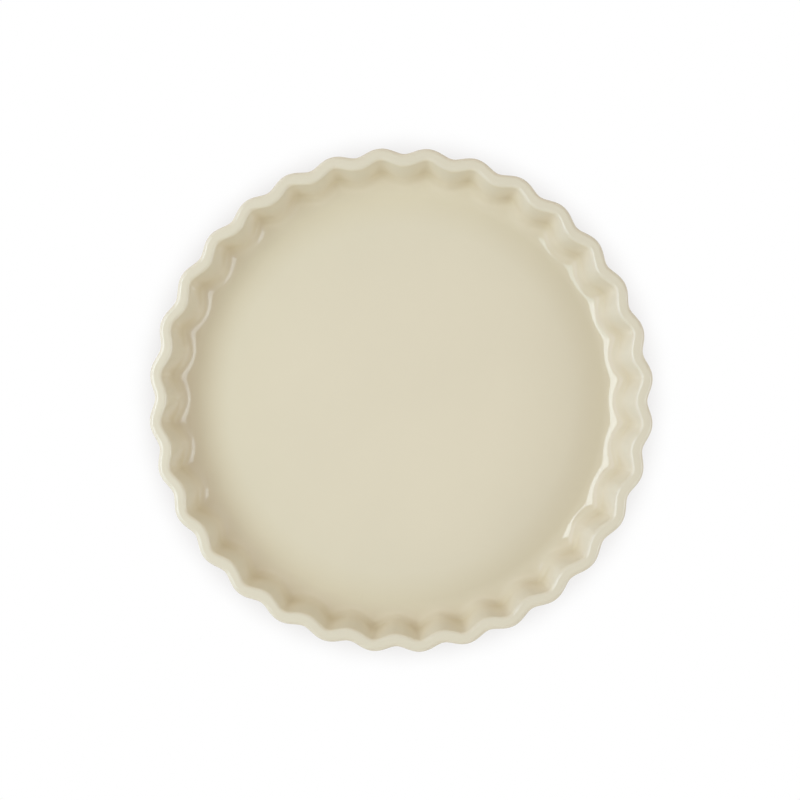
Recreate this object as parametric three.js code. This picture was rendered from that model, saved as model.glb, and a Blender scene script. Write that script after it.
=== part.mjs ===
// A round fluted baking dish in stoneware: one pressed clay body, and the three coats of glaze
// that are fired on to it. Millimetres, +Z up. The origin is the middle of the plane that the
// foot ring stands on, and a flute crest lies on the +X axis.
import * as THREE from "three";

// Driving dimensions of the fired and glazed dish
const RIM_DIAMETER = 280; // over opposite flute crests
const DISH_HEIGHT = 35; // from the standing plane to the top of the rim
const WALL_LEAN_DEG = 17; // outward lean of the wall from upright
const WALL_THICKNESS = 6; // clay, square to the wall
const RIM_EDGE_RADIUS = 1.9; // clay, on both sides of the rim's narrow flat top
const FLOOR_THICKNESS = 5.5; // clay
const CORNER_RADIUS = 13.9; // inside, from the floor into the wall
const HEEL_RADIUS = 13; // outside, from the wall into the underside
const GLAZE_THICKNESS = 0.5;

// Flutes: the wall waves in plan, and the wave dies away where the wall turns into a level face
const FLUTE_COUNT = 32;
const INNER_FLUTE_DEPTH = 3.9; // crest to trough
const OUTER_FLUTE_DEPTH = 3.5; // shallower, so the wall is thickest in the troughs
const FLUTE_RISE = 1.7; // above 1, the flutes stay shallow beside the level face

// Foot ring: bare clay, with a margin wiped clean of glaze on both sides of it
const FOOT_HEIGHT = 1.6;
const FOOT_WIDTH = 5;
const WIPED_MARGIN = 1.5;

// Facets
const STEPS_PER_FLUTE = 6;
const CORNER_STEPS = 3;
const INNER_RIM_STEPS = 1;
const OUTER_RIM_STEPS = 1;
const HEEL_STEPS = 2;
const DISC_SEGMENTS = 64;

const QUARTER_TURN = Math.PI / 2;
const HALF_TURN = Math.PI;
const lean = THREE.MathUtils.degToRad(WALL_LEAN_DEG);
const segments = FLUTE_COUNT * STEPS_PER_FLUTE;

// The section lies in a plane of radius (x) and height (y), at the flutes' mean radius.
const underside = FOOT_HEIGHT;
const floor = underside + FLOOR_THICKNESS;
const halfWall = WALL_THICKNESS / 2;
const halfRim = halfWall - RIM_EDGE_RADIUS; // from the wall's middle to the centre of an edge
const rimHeight = DISH_HEIGHT - GLAZE_THICKNESS - RIM_EDGE_RADIUS;
const rimReach = RIM_DIAMETER / 2 - GLAZE_THICKNESS - OUTER_FLUTE_DEPTH / 2 - RIM_EDGE_RADIUS;
const rimMiddle = rimReach - halfRim / Math.cos(lean);

// Radius of the middle of the wall's thickness at a height.
function wallMiddle(height) {
  return rimMiddle - (rimHeight - height) * Math.tan(lean);
}

// Centre of an arc that lies at a height, and at a distance inside the wall's middle line.
function centreInside(height, distance) {
  return new THREE.Vector2(wallMiddle(height) - distance / Math.cos(lean), height);
}

const cornerCentre = centreInside(floor + CORNER_RADIUS, halfWall + CORNER_RADIUS);
const innerRimCentre = centreInside(rimHeight, halfRim);
const outerRimCentre = centreInside(rimHeight, -halfRim);
const heelCentre = centreInside(underside + HEEL_RADIUS, HEEL_RADIUS - halfWall);

// Share of the full flute depth where an arc of the section has turned to an angle:
// none where it meets a level face below, rising to all of it where it meets the wall.
function fluting(angle) {
  const turned = (angle + QUARTER_TURN) / (QUARTER_TURN - lean);
  return Math.sin(QUARTER_TURN * THREE.MathUtils.clamp(turned, 0, 1) ** FLUTE_RISE);
}

// Points along an arc of the section, each with its unit direction out of the clay (away from
// the centre on a round edge, and towards it in a hollow corner) and its share of a flute depth.
function arc(centre, radius, from, to, steps, { depth, hollow = false }) {
  return Array.from({ length: steps + 1 }, (_, step) => {
    const angle = THREE.MathUtils.lerp(from, to, step / steps);
    const ray = new THREE.Vector2(Math.cos(angle), Math.sin(angle));
    return {
      at: centre.clone().addScaledVector(ray, radius),
      out: hollow ? ray.clone().negate() : ray,
      depth: depth * fluting(angle),
    };
  });
}

// A point of the section where it is level and round, with no flutes.
function plain(radius, height, out = new THREE.Vector2()) {
  return { at: new THREE.Vector2(radius, height), out, depth: 0 };
}

// The clay's faces that carry glaze: the inside from the middle of the floor to the top of the
// rim, and the outside from there over the rim and down to the underside. order counts along the
// two of them, and is half a step more on the glaze, so that no two neighbours have the same one.
const inward = { depth: INNER_FLUTE_DEPTH };
const outward = { depth: OUTER_FLUTE_DEPTH };
const inside = [
  plain(0, floor, new THREE.Vector2(0, 1)),
  ...arc(cornerCentre, CORNER_RADIUS, -QUARTER_TURN, -lean, CORNER_STEPS, { ...inward, hollow: true }),
  ...arc(innerRimCentre, RIM_EDGE_RADIUS, HALF_TURN - lean, QUARTER_TURN, INNER_RIM_STEPS, inward),
];
const outside = [
  inside.at(-1),
  ...arc(outerRimCentre, RIM_EDGE_RADIUS, QUARTER_TURN, 0, OUTER_RIM_STEPS, outward),
  ...arc(heelCentre, HEEL_RADIUS, -lean, -QUARTER_TURN, HEEL_STEPS, outward),
];
inside.forEach((point, index) => (point.order = index));
outside.forEach((point, index) => (point.order = inside.length - 1 + index));

// The same stretch of the section, on the outer face of its coat of glaze.
function glazed(stretch) {
  return stretch.map((point) => ({
    ...point,
    at: point.at.clone().addScaledVector(point.out, GLAZE_THICKNESS),
    order: point.order + 0.5,
  }));
}

// A section point carried round to an angle. The wall's middle line waves in plan, and the point
// keeps its distance from that line, so that the wall doesn't thin on a flute's flanks.
function carriedRound(point, angle) {
  const wave = point.depth / 2;
  const mean = wallMiddle(point.at.y);
  const middle = mean + wave * Math.cos(FLUTE_COUNT * angle);
  const slope = -FLUTE_COUNT * wave * Math.sin(FLUTE_COUNT * angle);
  const facing = angle - Math.atan2(slope, middle);
  const distance = point.at.x - mean;
  return new THREE.Vector3(
    middle * Math.cos(angle) + distance * Math.cos(facing),
    middle * Math.sin(angle) + distance * Math.sin(facing),
    point.at.y,
  );
}

// Vertices of one ring: a single one on the axis, or one at every step of the flutes.
function ringOf(point) {
  if (point.at.x === 0) return [new THREE.Vector3(0, 0, point.at.y)];
  return Array.from({ length: segments }, (_, step) =>
    carriedRound(point, (step / segments) * 2 * HALF_TURN),
  );
}

// The closed surface that a section sweeps round the axis. A section runs from axis to axis with
// the solid on its right hand, or is a loop. Each quad is split along the diagonal that its points'
// order gives, so that two pieces share the same triangles where they meet.
function swept(section, { loop = false } = {}) {
  const positions = [];
  const triangles = [];
  const rings = section.map((point) => {
    const vertices = ringOf(point);
    const first = positions.length / 3;
    vertices.forEach((vertex) => positions.push(...vertex));
    return { order: point.order, at: (step) => first + (step % vertices.length) };
  });
  const strips = loop ? rings.length : rings.length - 1;
  for (let strip = 0; strip < strips; strip++) {
    const near = rings[strip];
    const far = rings[(strip + 1) % rings.length];
    for (let step = 0; step < segments; step++) {
      const quad = [near.at(step), far.at(step), far.at(step + 1), near.at(step + 1)];
      const [a, b, c, d] = near.order > far.order ? [...quad.slice(1), quad[0]] : quad;
      triangles.push([a, b, c], [a, c, d]);
    }
  }
  const whole = triangles.filter(([a, b, c]) => a !== b && b !== c && c !== a);
  return new THREE.BufferGeometry()
    .setAttribute("position", new THREE.Float32BufferAttribute(positions, 3))
    .setIndex(whole.flat());
}

// Clay body: floor, fluted wall, rounded rim, heel and foot ring, pressed as one piece.
const footOuter = heelCentre.x - WIPED_MARGIN;
const footInner = footOuter - FOOT_WIDTH;

function bodyGeometry() {
  return swept([
    ...inside,
    ...outside.slice(1),
    plain(footOuter, underside),
    plain(footOuter, 0),
    plain(footInner, 0),
    plain(footInner, underside),
    plain(0, underside),
  ]);
}

// Inside coat, poured over the floor and the wall up to the top of the rim.
function linerGeometry() {
  return swept([...glazed(inside), ...inside.toReversed()]);
}

// Outside coat, from the top of the rim down to the wiped margin beside the foot ring.
function outerCoatGeometry() {
  return swept([...glazed(outside), ...outside.toReversed()], { loop: true });
}

// Coat on the underside, a disc in the recess that the foot ring goes round.
function baseCoatGeometry() {
  const radius = footInner - WIPED_MARGIN;
  const top = underside;
  const bottom = underside - GLAZE_THICKNESS;
  const section = [
    new THREE.Vector2(0, bottom),
    new THREE.Vector2(radius, bottom),
    new THREE.Vector2(radius, top),
    new THREE.Vector2(0, top),
  ];
  return new THREE.LatheGeometry(section, DISC_SEGMENTS).rotateX(QUARTER_TURN);
}

const clay = new THREE.MeshStandardMaterial({ color: 0xd8cbb2, roughness: 0.9, metalness: 0 });
const glaze = new THREE.MeshStandardMaterial({ color: 0xdcd4bb, roughness: 0.08, metalness: 0 });

function piece(name, geometry, material) {
  const mesh = new THREE.Mesh(geometry, material);
  geometry.computeVertexNormals();
  mesh.name = name;
  return mesh;
}

const dish = new THREE.Group();
dish.name = "fluted_baking_dish";
dish.add(
  piece("stoneware_body", bodyGeometry(), clay),
  piece("liner_glaze", linerGeometry(), glaze),
  piece("outer_glaze", outerCoatGeometry(), glaze),
  piece("base_glaze", baseCoatGeometry(), glaze),
);

export default dish;
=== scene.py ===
import bpy
import numpy as np
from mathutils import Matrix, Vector


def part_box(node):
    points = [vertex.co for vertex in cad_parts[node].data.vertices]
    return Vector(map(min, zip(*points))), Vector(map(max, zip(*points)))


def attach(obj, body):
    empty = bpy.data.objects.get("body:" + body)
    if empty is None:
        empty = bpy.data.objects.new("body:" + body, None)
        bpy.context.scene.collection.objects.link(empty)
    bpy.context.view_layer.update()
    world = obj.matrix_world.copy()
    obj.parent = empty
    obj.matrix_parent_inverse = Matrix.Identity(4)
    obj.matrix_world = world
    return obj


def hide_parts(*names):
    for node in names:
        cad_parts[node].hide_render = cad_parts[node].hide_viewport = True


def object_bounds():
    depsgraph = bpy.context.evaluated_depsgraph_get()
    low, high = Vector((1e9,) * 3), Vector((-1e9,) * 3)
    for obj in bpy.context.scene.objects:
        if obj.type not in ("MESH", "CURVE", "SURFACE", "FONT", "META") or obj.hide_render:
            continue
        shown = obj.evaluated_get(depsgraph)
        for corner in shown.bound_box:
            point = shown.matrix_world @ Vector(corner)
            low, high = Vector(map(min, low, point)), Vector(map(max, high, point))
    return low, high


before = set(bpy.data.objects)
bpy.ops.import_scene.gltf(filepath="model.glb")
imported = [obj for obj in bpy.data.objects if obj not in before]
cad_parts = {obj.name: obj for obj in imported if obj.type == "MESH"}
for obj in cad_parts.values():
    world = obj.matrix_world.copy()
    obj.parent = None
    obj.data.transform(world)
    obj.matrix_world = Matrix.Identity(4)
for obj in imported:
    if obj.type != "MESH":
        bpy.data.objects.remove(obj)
cad_low, cad_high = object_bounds()

# Stoneware body
# Buff clay pressed in a fluted mould and fired hard: a flat floor, a leaning fluted wall with a
# rounded rim, and a low foot ring. Glaze covers it, and only the foot and a margin stay bare.
clay_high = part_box("stoneware_body")[1]
base_low, base_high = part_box("base_glaze")
glaze_thickness = base_high.z - base_low.z
underside = base_high.z
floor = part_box("liner_glaze")[0].z

FLUTES = 32
INNER_FLUTE_DEPTH = 0.0039  # crest to trough
OUTER_FLUTE_DEPTH = 0.0035  # shallower, so the wall is thickest in the troughs
FLUTE_RISE = 1.7  # above 1, the flutes stay shallow beside the level face
WALL_LEAN = np.radians(17)
WALL_THICKNESS = 0.006
RIM_EDGE_RADIUS = 0.0019
CORNER_RADIUS = 0.0139
HEEL_RADIUS = 0.013
WIPED_MARGIN = 0.0015
FOOT_WIDTH = 0.005
FOOT_EDGE_RADIUS = 0.0006

# The flutes stray from an even pitch in slow waves round the dish: how far, how often, from where
UNEVENNESS = np.radians([0.15, 0.37, 0.2, 0.19, 0.15])
UNEVENNESS_WAVES = (1, 2, 3, 4, 5)
UNEVENNESS_STARTS = np.radians([-63, -34, 75, 16, 141])

STEPS_PER_FLUTE = 20
RIGHT_ANGLE = np.pi / 2
half_wall = WALL_THICKNESS / 2
half_rim = half_wall - RIM_EDGE_RADIUS
rim_height = clay_high.z - RIM_EDGE_RADIUS
rim_reach = clay_high.x - OUTER_FLUTE_DEPTH / 2 - RIM_EDGE_RADIUS
rim_middle = rim_reach - half_rim / np.cos(WALL_LEAN)
angle = np.linspace(0, 2 * np.pi, FLUTES * STEPS_PER_FLUTE, endpoint=False)
drift = UNEVENNESS @ np.cos(np.outer(UNEVENNESS_WAVES, angle) + UNEVENNESS_STARTS[:, None])
phase = FLUTES * (angle - drift)

# Columns of the dish's section, which has a row for each of its points
PLACE = np.s_[:, 0:2]  # radius and height
OUT = np.s_[:, 2:4]  # direction out of the clay
OUTWARD = np.s_[:, 2:3]  # the part of that direction along the radius
DEPTH = np.s_[:, 4:5]  # of the flutes, crest to trough
POOLING = np.s_[:, 5:6]  # of the glaze, from -1 where it runs thin to 1 where it gathers


def wall_middle(height):
    """Radius of the middle of the wall's thickness: a straight line that leans in from the rim down."""
    return rim_middle - (rim_height - height) * np.tan(WALL_LEAN)


def centre_inside(height, distance):
    """Centre of an arc at a height, and at a distance inside the wall's middle line."""
    return np.array([wall_middle(height) - distance / np.cos(WALL_LEAN), height])


def arc(centre, radius, start, end, steps, flute_depth=0.0, pooling=0.0, hollow=False):
    """Round stretch of the section, a circle from one angle to another. The flutes' depth rises by a
    sine from 0 where the arc lies level below to all of it where it meets the wall. The direction out
    of the clay is away from the centre, or towards it in a hollow corner."""
    turn = np.linspace(start, end, steps + 1)
    ray = np.stack([np.cos(turn), np.sin(turn)], axis=1)
    share = np.clip((turn + RIGHT_ANGLE) / (RIGHT_ANGLE - WALL_LEAN), 0, 1)
    depth = flute_depth * np.sin(RIGHT_ANGLE * share**FLUTE_RISE)
    out = -ray if hollow else ray
    return np.column_stack([centre + radius * ray, out, depth, np.full(steps + 1, pooling)])


def level(radius, height, out):
    """Row of the section on a face with no flutes, where out is 1 for up and -1 for down."""
    return np.array([radius, height, 0, out, 0, 0])


def joined(*stretches):
    """Stretches end to end, each without the last row, which the next one starts with."""
    return np.vstack([stretch[:-1] for stretch in stretches[:-1]] + [stretches[-1]])


def carried_round(section, thickness=0.0):
    """Points of the section carried round the axis, as an array of rows by angles, each first moved out
    of the clay by a thickness. In plan the wall's middle line is a circle plus a cosine wave, and a row
    keeps its distance square to that line."""
    place = section[PLACE] + np.reshape(thickness, (-1, 1)) * section[OUT]
    radius, height = np.hsplit(place, 2)
    wave = section[DEPTH] / 2
    mean = wall_middle(height)
    middle = mean + wave * np.cos(phase)
    facing = angle + np.arctan2(FLUTES * wave * np.sin(phase), middle)
    distance = radius - mean
    x = middle * np.cos(angle) + distance * np.cos(facing)
    y = middle * np.sin(angle) + distance * np.sin(facing)
    return np.stack([x, y, np.broadcast_to(height, x.shape)], axis=-1)


def square_to(points):
    """Unit normals of such points: the cross product of their slopes along the section, taken by the
    distance between rows, and round the axis."""
    steps = np.linalg.norm(np.diff(points[:, 0], axis=0), axis=1)
    along = np.concatenate([[0], np.cumsum(steps)])
    down = np.gradient(points, along, axis=0)
    around = np.roll(points, -1, axis=1) - np.roll(points, 1, axis=1)
    normal = np.cross(down, around)
    return normal / np.linalg.norm(normal, axis=-1, keepdims=True)


def turned_mesh(name, points, normals, pooling=None, poles=()):
    """Closed mesh of rows of points round the axis. It ends in two poles, the heights where its first
    and last rows close on the axis, or else the last row joins the first."""
    rows, columns = points.shape[:2]
    number = np.arange(rows * columns).reshape(rows, columns)
    if not poles:
        number = np.vstack([number, number[:1]])
    beside = np.roll(number, -1, axis=1)
    quads = np.stack([number[:-1], number[1:], beside[1:], beside[:-1]], axis=-1).reshape(-1, 4)
    vertices = points.reshape(-1, 3)
    directions = normals.reshape(-1, 3)
    corners = quads.ravel()
    sizes = np.full(len(quads), 4)
    if poles:
        first_tip = np.full(columns, rows * columns)
        first = np.stack([first_tip, number[0], beside[0]], axis=-1)
        last = np.stack([number[-1], first_tip + 1, beside[-1]], axis=-1)
        vertices = np.vstack([vertices, [[0, 0, height] for height in poles]])
        directions = np.vstack([directions, [normals[0].mean(axis=0), normals[-1].mean(axis=0)]])
        corners = np.concatenate([corners, first.ravel(), last.ravel()])
        sizes = np.concatenate([sizes, np.full(2 * columns, 3)])
    mesh = bpy.data.meshes.new(name)
    mesh.vertices.add(len(vertices))
    mesh.vertices.foreach_set("co", vertices.ravel())
    mesh.loops.add(len(corners))
    mesh.loops.foreach_set("vertex_index", corners)
    mesh.polygons.add(len(sizes))
    mesh.polygons.foreach_set("loop_start", np.cumsum(sizes) - sizes)
    mesh.polygons.foreach_set("use_smooth", np.ones(len(sizes), bool))
    mesh.update(calc_edges=True)
    mesh.normals_split_custom_set_from_vertices(directions)
    if pooling is not None:
        depth = np.concatenate([pooling.ravel(), np.zeros(len(vertices) - pooling.size)])
        mesh.attributes.new("pooling", "FLOAT", "POINT").data.foreach_set("value", depth)
    return mesh


CORNER_STEPS = 14
INNER_RIM_STEPS = 10
OUTER_RIM_STEPS = 14
HEEL_STEPS = 12
CORNER_POOLING = 0.55
RIM_POOLING = -1.0
HEEL_POOLING = 0.6
corner_centre = centre_inside(floor + CORNER_RADIUS, half_wall + CORNER_RADIUS)
inner_rim_centre = centre_inside(rim_height, half_rim)
outer_rim_centre = centre_inside(rim_height, -half_rim)
heel_centre = centre_inside(underside + HEEL_RADIUS, HEEL_RADIUS - half_wall)
corner = arc(
    corner_centre, CORNER_RADIUS, -RIGHT_ANGLE, -WALL_LEAN, CORNER_STEPS,
    INNER_FLUTE_DEPTH, CORNER_POOLING, hollow=True,
)
rim_in = arc(
    inner_rim_centre, RIM_EDGE_RADIUS, np.pi - WALL_LEAN, RIGHT_ANGLE, INNER_RIM_STEPS,
    INNER_FLUTE_DEPTH, RIM_POOLING,
)
rim_out = arc(
    outer_rim_centre, RIM_EDGE_RADIUS, RIGHT_ANGLE, -WALL_LEAN, OUTER_RIM_STEPS,
    OUTER_FLUTE_DEPTH, RIM_POOLING,
)
heel = arc(
    heel_centre, HEEL_RADIUS, -WALL_LEAN, -RIGHT_ANGLE, HEEL_STEPS,
    OUTER_FLUTE_DEPTH, HEEL_POOLING,
)

POLE_RING = 0.003  # radius of the rows that close on the axis
POOL_REACH = 0.016  # from the corner to where glaze starts to gather on the floor
FLOOR_ROWS = 8
POOL_ROWS = 10
WALL_ROWS = 14
RIM_TOP_ROWS = 6
pool_start = level(corner[0, 0] - POOL_REACH, floor, 1)
inside = joined(
    np.linspace(level(POLE_RING, floor, 1), pool_start, FLOOR_ROWS),
    np.linspace(pool_start, corner[0], POOL_ROWS),
    corner,
    np.linspace(corner[-1], rim_in[0], WALL_ROWS),
    rim_in,
)
rim_top = np.linspace(rim_in[-1], rim_out[0], RIM_TOP_ROWS)
outside = joined(rim_top, rim_out, np.linspace(rim_out[-1], heel[0], WALL_ROWS), heel)

FOOT_EDGE_STEPS = 6
UNDERSIDE_ROWS = 6
foot_outer = heel_centre[0] - WIPED_MARGIN
foot_inner = foot_outer - FOOT_WIDTH


def foot_edge(radius, start):
    """Quarter circle that rounds one of the foot ring's two lower edges, from an angle downwards."""
    side = FOOT_EDGE_RADIUS if start else -FOOT_EDGE_RADIUS
    centre = np.array([radius + side, FOOT_EDGE_RADIUS])
    return arc(centre, FOOT_EDGE_RADIUS, start, -RIGHT_ANGLE, FOOT_EDGE_STEPS)


recess_edge = level(foot_inner - WIPED_MARGIN, underside, -1)
foot = np.vstack(
    [
        level(foot_outer + WIPED_MARGIN / 2, underside, -1),
        level(foot_outer, underside, -1),
        foot_edge(foot_outer, 0),
        foot_edge(foot_inner, -np.pi)[::-1],
        level(foot_inner, underside, -1),
        np.linspace(recess_edge, level(POLE_RING, underside, -1), UNDERSIDE_ROWS),
    ]
)
glazed_section = joined(inside, outside)
clay_face = carried_round(glazed_section)
clay_normals = square_to(clay_face)
foot_points = carried_round(foot)
body_points = np.concatenate([clay_face, foot_points])
body_normals = np.concatenate([clay_normals, square_to(foot_points)])
body_mesh = turned_mesh("clay_body", body_points, body_normals, poles=(floor, underside))


def add_node(tree, kind, **inputs):
    """New shader node, with values for its inputs by name."""
    made = tree.nodes.new(kind)
    for name, value in inputs.items():
        made.inputs[name.replace("_", " ")].default_value = value
    return made


def new_material(name):
    """Material with a plain Principled shader; returns the material, its node tree and the shader."""
    material = bpy.data.materials.new(name)
    material.use_nodes = True
    tree = material.node_tree
    return material, tree, tree.nodes["Principled BSDF"]


def kiln_tone_group():
    """Shared effect of uneven firing: a colour times 1 plus an amount of cloudy noise centred on 0."""
    group = bpy.data.node_groups.new("kiln_tone", "ShaderNodeTree")
    kinds = {"Colour": "NodeSocketColor", "Patches": "NodeSocketFloat", "Amount": "NodeSocketFloat"}
    for name, kind in kinds.items():
        group.interface.new_socket(name, in_out="INPUT", socket_type=kind)
    group.interface.new_socket("Colour", in_out="OUTPUT", socket_type="NodeSocketColor")
    entry = group.nodes.new("NodeGroupInput")
    leave = group.nodes.new("NodeGroupOutput")
    place = group.nodes.new("ShaderNodeTexCoord")
    cloud = add_node(group, "ShaderNodeTexNoise", Detail=4.0, Roughness=0.55)
    centred = group.nodes.new("ShaderNodeMath")
    centred.operation = "SUBTRACT"
    centred.inputs[1].default_value = 0.5
    factor = group.nodes.new("ShaderNodeMath")
    factor.operation = "MULTIPLY_ADD"
    factor.inputs[2].default_value = 1.0
    scaled = group.nodes.new("ShaderNodeVectorMath")
    scaled.operation = "SCALE"
    group.links.new(place.outputs["Object"], cloud.inputs["Vector"])
    group.links.new(entry.outputs["Patches"], cloud.inputs["Scale"])
    group.links.new(cloud.outputs["Fac"], centred.inputs[0])
    group.links.new(centred.outputs[0], factor.inputs[0])
    group.links.new(entry.outputs["Amount"], factor.inputs[1])
    group.links.new(entry.outputs["Colour"], scaled.inputs[0])
    group.links.new(factor.outputs[0], scaled.inputs["Scale"])
    group.links.new(scaled.outputs[0], leave.inputs["Colour"])
    return group


kiln_tone = kiln_tone_group()


def add_kiln_tone(tree, patches, amount):
    """The shared firing effect placed in a material, with its own patch size and strength."""
    made = tree.nodes.new("ShaderNodeGroup")
    made.node_tree = kiln_tone
    made.inputs["Patches"].default_value = patches
    made.inputs["Amount"].default_value = amount
    return made


BARE_CLAY = (0.66, 0.55, 0.4, 1)
CLAY_GRIT = (0.36, 0.27, 0.18, 1)
GRIT_CORE = 0.1  # radius of a dark grain, as a share of the spacing of the grains
GRIT_EDGE = 0.22  # where the grain has faded into the clay
clay_material, tree, shader = new_material("bare_stoneware")
shader.inputs["IOR"].default_value = 1.5
place = tree.nodes.new("ShaderNodeTexCoord")
tone = add_kiln_tone(tree, patches=45.0, amount=0.35)
grains = add_node(tree, "ShaderNodeTexVoronoi", Scale=900.0)
specks = tree.nodes.new("ShaderNodeValToRGB")
specks.color_ramp.elements[0].position = GRIT_CORE
specks.color_ramp.elements[0].color = CLAY_GRIT
specks.color_ramp.elements[1].position = GRIT_EDGE
specks.color_ramp.elements[1].color = BARE_CLAY
rough = add_node(tree, "ShaderNodeMapRange", To_Min=0.72, To_Max=0.95)
sand = add_node(tree, "ShaderNodeTexNoise", Scale=1600.0, Detail=3.0)
relief = add_node(tree, "ShaderNodeBump", Strength=0.6, Distance=0.00008)
for texture in (grains, sand):
    tree.links.new(place.outputs["Object"], texture.inputs["Vector"])
tree.links.new(grains.outputs["Distance"], specks.inputs["Fac"])
tree.links.new(specks.outputs["Color"], tone.inputs["Colour"])
tree.links.new(tone.outputs["Colour"], shader.inputs["Base Color"])
tree.links.new(sand.outputs["Fac"], rough.inputs["Value"])
tree.links.new(rough.outputs["Result"], shader.inputs["Roughness"])
tree.links.new(sand.outputs["Fac"], relief.inputs["Height"])
tree.links.new(relief.outputs["Normal"], shader.inputs["Normal"])


def add_piece(name, mesh, material):
    """Object at the origin that shows a mesh in one material."""
    made = bpy.data.objects.new(name, mesh)
    made.data.materials.append(material)
    bpy.context.scene.collection.objects.link(made)
    return made


body = add_piece("clay_body", body_mesh, clay_material)
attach(body, "root")
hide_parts("stoneware_body")

# Inside coat
# Glossy opaque cream glaze, poured over the floor and the wall up to the top of the rim and fused
# to the clay in the kiln. It runs thin and pale on the rim, and deeper where it pools.
GLAZE = (0.7, 0.645, 0.49, 1)
THIN_GLAZE = (0.68, 0.64, 0.5, 1)
POOLED_GLAZE = (0.66, 0.59, 0.415, 1)
FLUTE_POOLING = 0.6
EDGE_ROLL = 0.0008  # over this far from its edge, a coat rises to its full thickness


def pooling_of(section):
    """How far glaze pools, from -1 where it runs thin to 1 where it gathers: the section's own share,
    plus a cosine round the flutes, so that it gathers in the hollows of whichever face it is on."""
    hollows = -section[OUTWARD] * section[DEPTH] / INNER_FLUTE_DEPTH * np.cos(phase)
    return np.clip(section[POOLING] + FLUTE_POOLING * hollows, -1, 1)


glaze_material, tree, shader = new_material("cream_glaze")
shader.inputs["IOR"].default_value = 1.5
place = tree.nodes.new("ShaderNodeTexCoord")
gathered = tree.nodes.new("ShaderNodeAttribute")
gathered.attribute_name = "pooling"
ripple = add_node(tree, "ShaderNodeTexNoise", Scale=60.0, Detail=2.0)
depth = add_node(tree, "ShaderNodeMapRange", From_Min=-1.0, From_Max=1.0)
colours = tree.nodes.new("ShaderNodeValToRGB")
colours.color_ramp.elements[0].color = THIN_GLAZE
colours.color_ramp.elements[1].color = POOLED_GLAZE
colours.color_ramp.elements.new(0.5).color = GLAZE
tone = add_kiln_tone(tree, patches=14.0, amount=0.06)
gloss = add_node(tree, "ShaderNodeMapRange", To_Min=0.005, To_Max=0.02)
peel = add_node(tree, "ShaderNodeTexNoise", Scale=170.0, Detail=2.0)
skin = add_node(tree, "ShaderNodeBump", Strength=0.5, Distance=0.00003)
for texture in (ripple, peel):
    tree.links.new(place.outputs["Object"], texture.inputs["Vector"])
tree.links.new(gathered.outputs["Fac"], depth.inputs["Value"])
tree.links.new(depth.outputs["Result"], colours.inputs["Fac"])
tree.links.new(colours.outputs["Color"], tone.inputs["Colour"])
tree.links.new(tone.outputs["Colour"], shader.inputs["Base Color"])
tree.links.new(ripple.outputs["Fac"], gloss.inputs["Value"])
tree.links.new(gloss.outputs["Result"], shader.inputs["Roughness"])
tree.links.new(peel.outputs["Fac"], skin.inputs["Height"])
tree.links.new(skin.outputs["Normal"], shader.inputs["Normal"])

coat_edge = glazed_section[PLACE][-1]
edge_distance = np.linalg.norm(glazed_section[PLACE] - coat_edge, axis=1)
near_edge = np.clip(edge_distance / EDGE_ROLL, 0, 1)
thickness = glaze_thickness * np.sqrt(1 - (1 - near_edge) ** 2)
glaze_face = carried_round(glazed_section, thickness)
glaze_normals = square_to(glaze_face)
glaze_pooling = pooling_of(glazed_section)

inside_rows = slice(0, len(inside))
liner_mesh = turned_mesh(
    "inside_coat",
    np.concatenate([glaze_face[inside_rows], clay_face[inside_rows][::-1]]),
    np.concatenate([glaze_normals[inside_rows], -clay_normals[inside_rows][::-1]]),
    np.concatenate([glaze_pooling[inside_rows], glaze_pooling[inside_rows][::-1]]),
    poles=(floor + glaze_thickness, floor),
)
liner = add_piece("inside_coat", liner_mesh, glaze_material)
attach(liner, "root")
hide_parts("liner_glaze")

# Outside coat
# The same glaze from the top of the rim down the outside of the flutes, round the heel to a soft
# rolled edge, where it was wiped off beside the foot so that the dish wouldn't stick in the kiln.
outside_rows = slice(len(inside) - 1, None)
outer_mesh = turned_mesh(
    "outside_coat",
    np.concatenate([glaze_face[outside_rows], clay_face[outside_rows][-2::-1]]),
    np.concatenate([glaze_normals[outside_rows], -clay_normals[outside_rows][-2::-1]]),
    np.concatenate([glaze_pooling[outside_rows], glaze_pooling[outside_rows][-2::-1]]),
)
outer = add_piece("outside_coat", outer_mesh, glaze_material)
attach(outer, "root")
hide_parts("outer_glaze")

# Underside coat
# A disc of the same glaze in the recess inside the foot ring, fused to the clay, with a rolled edge
# along the margin that was wiped clean.
DISC_TOP_ROWS = 8
ROLL_ROWS = 8
DISC_UNDER_ROWS = 10
disc_radius = base_high.x
disc_under = underside - glaze_thickness
roll = np.linspace(0, RIGHT_ANGLE, ROLL_ROWS)
rolled_edge = np.column_stack(
    [
        disc_radius - EDGE_ROLL * (1 - np.cos(roll)),
        underside - glaze_thickness * np.sin(roll),
        np.tile(level(0, 0, -1)[2:], (ROLL_ROWS, 1)),
    ]
)
disc = joined(
    np.linspace(level(POLE_RING, underside, 1), level(disc_radius, underside, 1), DISC_TOP_ROWS),
    rolled_edge,
    np.linspace(rolled_edge[-1], level(POLE_RING, disc_under, -1), DISC_UNDER_ROWS),
)
disc_points = carried_round(disc)
base_mesh = turned_mesh(
    "underside_coat",
    disc_points,
    square_to(disc_points),
    np.zeros(disc_points.shape[:2]),
    poles=(underside, disc_under),
)
base = add_piece("underside_coat", base_mesh, glaze_material)
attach(base, "root")
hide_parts("base_glaze")

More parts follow.
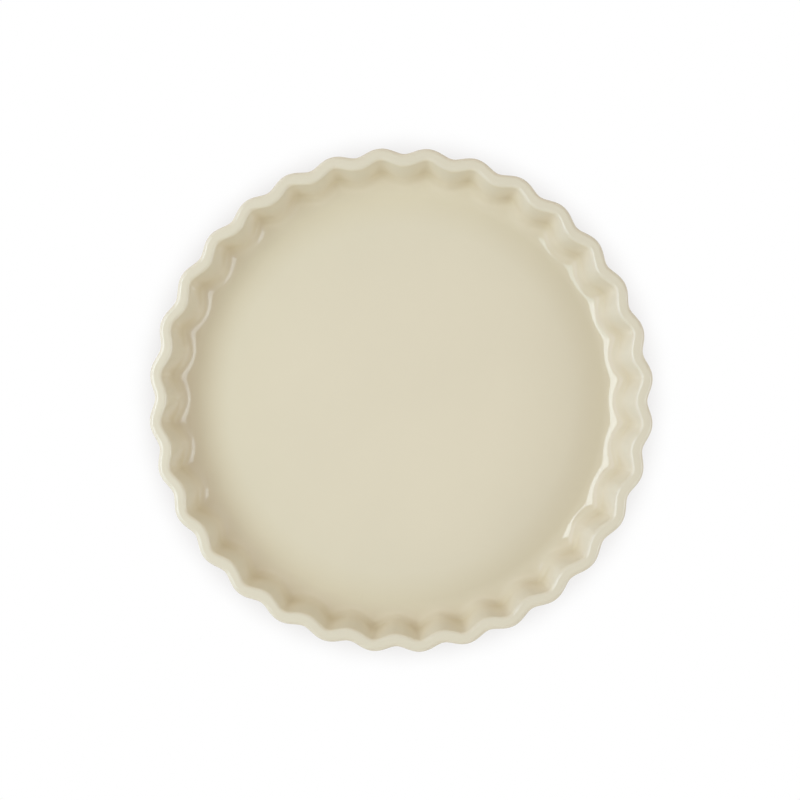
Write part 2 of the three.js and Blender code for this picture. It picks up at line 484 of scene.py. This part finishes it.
# Table
# A plain white table top. To the eye and in reflections it glows pure white, with a painted shadow
# close round the dish, and to light it throws light back like white paint.
TABLE_SIZE = 12.0
TABLE_WHITE = (0.8, 0.8, 0.8, 1)
PAINTED_SHADOW_REACH = 0.03
PAINTED_SHADOW_SAMPLES = 16
PAINTED_CONTACT_SHADOW = (0.3, 0.28, 0.27, 1)
PAINTED_SOFT_SHADOW = (0.7, 0.68, 0.67, 1)
SOFT_OPENNESS = 0.3
CLEAR_OPENNESS = 0.92


def seen_directly(tree):
    """1 for rays from the camera, a reflection or a clear body, and 0 for rays that carry light about."""
    path = tree.nodes.new("ShaderNodeLightPath")
    total = path.outputs["Is Camera Ray"]
    for name in ("Is Glossy Ray", "Is Transmission Ray"):
        either = tree.nodes.new("ShaderNodeMath")
        either.operation = "MAXIMUM"
        tree.links.new(total, either.inputs[0])
        tree.links.new(path.outputs[name], either.inputs[1])
        total = either.outputs[0]
    return total


table_material, tree, shader = new_material("white_table")
tree.nodes.remove(shader)
# Painted shadow: the table's glow is darker where the dish closes it in (ambient occlusion), not shade
# from the lamps
openness = add_node(tree, "ShaderNodeAmbientOcclusion", Distance=PAINTED_SHADOW_REACH)
openness.samples = PAINTED_SHADOW_SAMPLES
painted_shadow = tree.nodes.new("ShaderNodeValToRGB")
painted_shadow.color_ramp.interpolation = "EASE"
painted_shadow.color_ramp.elements[0].color = PAINTED_CONTACT_SHADOW
painted_shadow.color_ramp.elements[1].position = CLEAR_OPENNESS
painted_shadow.color_ramp.elements.new(SOFT_OPENNESS).color = PAINTED_SOFT_SHADOW
seen = tree.nodes.new("ShaderNodeEmission")
lit = add_node(tree, "ShaderNodeBsdfDiffuse", Color=TABLE_WHITE)
whole = tree.nodes.new("ShaderNodeMixShader")
tree.links.new(openness.outputs["AO"], painted_shadow.inputs["Fac"])
tree.links.new(painted_shadow.outputs["Color"], seen.inputs["Color"])
tree.links.new(seen_directly(tree), whole.inputs["Fac"])
tree.links.new(lit.outputs[0], whole.inputs[1])
tree.links.new(seen.outputs[0], whole.inputs[2])
tree.links.new(whole.outputs[0], tree.nodes["Material Output"].inputs["Surface"])

half_table = TABLE_SIZE / 2
table_mesh = bpy.data.meshes.new("table")
table_corners = [(x * half_table, y * half_table, 0) for x, y in ((-1, -1), (1, -1), (1, 1), (-1, 1))]
table_mesh.from_pydata(table_corners, [], [(0, 1, 2, 3)])
table = add_piece("table", table_mesh, table_material)

# Light
# A cool soft box high on the left and a weaker, lower one on the right, each with a hot spot before
# its lamp, a dim card low down on each of the four sides, and warm even light from all round. The
# backdrop is white to the eye and in reflections.
PHOTO_TURN = np.radians(4.82)
AROUND = (0.432, 0.36, 0.28, 1)
BACKDROP = (1, 1, 1, 1)
LEFT_BOX = {"slant": 40.5, "distance": 1.3, "height": 0.624}
RIGHT_BOX = {"slant": 59.5, "distance": 1.4, "height": 0.56}
LONG_CARD = {"slant": 70, "distance": 1.6, "width": 2.6, "height": 0.9}
SHORT_CARD = {"slant": 74, "distance": 1.6, "width": 2.2, "height": 0.8}

world = bpy.data.worlds.new("studio")
world.use_nodes = True
bpy.context.scene.world = world
tree = world.node_tree
around = tree.nodes["Background"]
around.inputs["Color"].default_value = AROUND
backdrop = add_node(tree, "ShaderNodeBackground", Color=BACKDROP)
surround = tree.nodes.new("ShaderNodeMixShader")
tree.links.new(seen_directly(tree), surround.inputs["Fac"])
tree.links.new(around.outputs[0], surround.inputs[1])
tree.links.new(backdrop.outputs[0], surround.inputs[2])
tree.links.new(surround.outputs[0], tree.nodes["World Output"].inputs["Surface"])


def add_light(name, bearing, slant, distance, width, height, radiance):
    """Rectangle of light that faces the dish, at a bearing in the picture, a slant from straight up
    and a distance. Its power is its radiance, in red, green and blue, times its area times pi."""
    turned = np.radians(bearing) - PHOTO_TURN
    steep = np.radians(slant)
    outward = Vector((np.cos(turned) * np.sin(steep), np.sin(turned) * np.sin(steep), np.cos(steep)))
    light = bpy.data.lights.new(name, "AREA")
    light.shape = "RECTANGLE"
    light.size = width
    light.size_y = height
    brightest = max(radiance)
    light.energy = brightest * np.pi * width * height
    light.color = [part / brightest for part in radiance]
    made = bpy.data.objects.new(name, light)
    made.location = outward * distance
    made.rotation_euler = (-outward).to_track_quat("-Z", "Y").to_euler()
    bpy.context.scene.collection.objects.link(made)


add_light("left_soft_box", bearing=184, width=1.25, radiance=(2.02, 2.8, 3.18), **LEFT_BOX)
add_light("left_hot_spot", bearing=174, width=0.9, radiance=(2.26, 2.17, 2.49), **LEFT_BOX)
add_light("right_soft_box", bearing=-13, width=1.2, radiance=(2.07, 2.31, 2.69), **RIGHT_BOX)
add_light("right_hot_spot", bearing=-11, width=0.55, radiance=(0.72, 0.87, 0.82), **RIGHT_BOX)
add_light("back_card", bearing=90, radiance=(0.52, 0.42, 0.36), **LONG_CARD)
add_light("front_card", bearing=270, radiance=(0.41, 0.34, 0.25), **LONG_CARD)
add_light("left_card", bearing=181, radiance=(0.81, 0.79, 1.25), **SHORT_CARD)
add_light("right_card", bearing=-14, radiance=(0.32, 0.31, 0.44), **SHORT_CARD)

# Camera
# Straight above the dish, turned so that the flutes fall where the picture has them. The lens is the
# one that gives the rim's crests their radius in the picture.
CAMERA_HEIGHT = 1.5
CREST_PIXELS = 252.9  # radius of the rim's crests
HALF_PICTURE_PIXELS = 400
CENTRE_PIXELS = (1.2, -0.1)  # the dish's middle, right of and above the middle of the picture

rim_distance = CAMERA_HEIGHT - cad_high.z
metres_per_pixel = cad_high.x / CREST_PIXELS
lens_data = bpy.data.cameras.new("camera")
lens_data.lens = lens_data.sensor_width * rim_distance / (2 * HALF_PICTURE_PIXELS * metres_per_pixel)
camera = bpy.data.objects.new("camera", lens_data)
right = np.array([np.cos(-PHOTO_TURN), np.sin(-PHOTO_TURN)])
up = np.array([-right[1], right[0]])
aside = -metres_per_pixel * (CENTRE_PIXELS[0] * right + CENTRE_PIXELS[1] * up)
camera.location = (*aside, CAMERA_HEIGHT)
camera.rotation_euler = (0, 0, -PHOTO_TURN)
bpy.context.scene.collection.objects.link(camera)
bpy.context.scene.camera = camera
bpy.context.scene.view_settings.view_transform = "Standard"
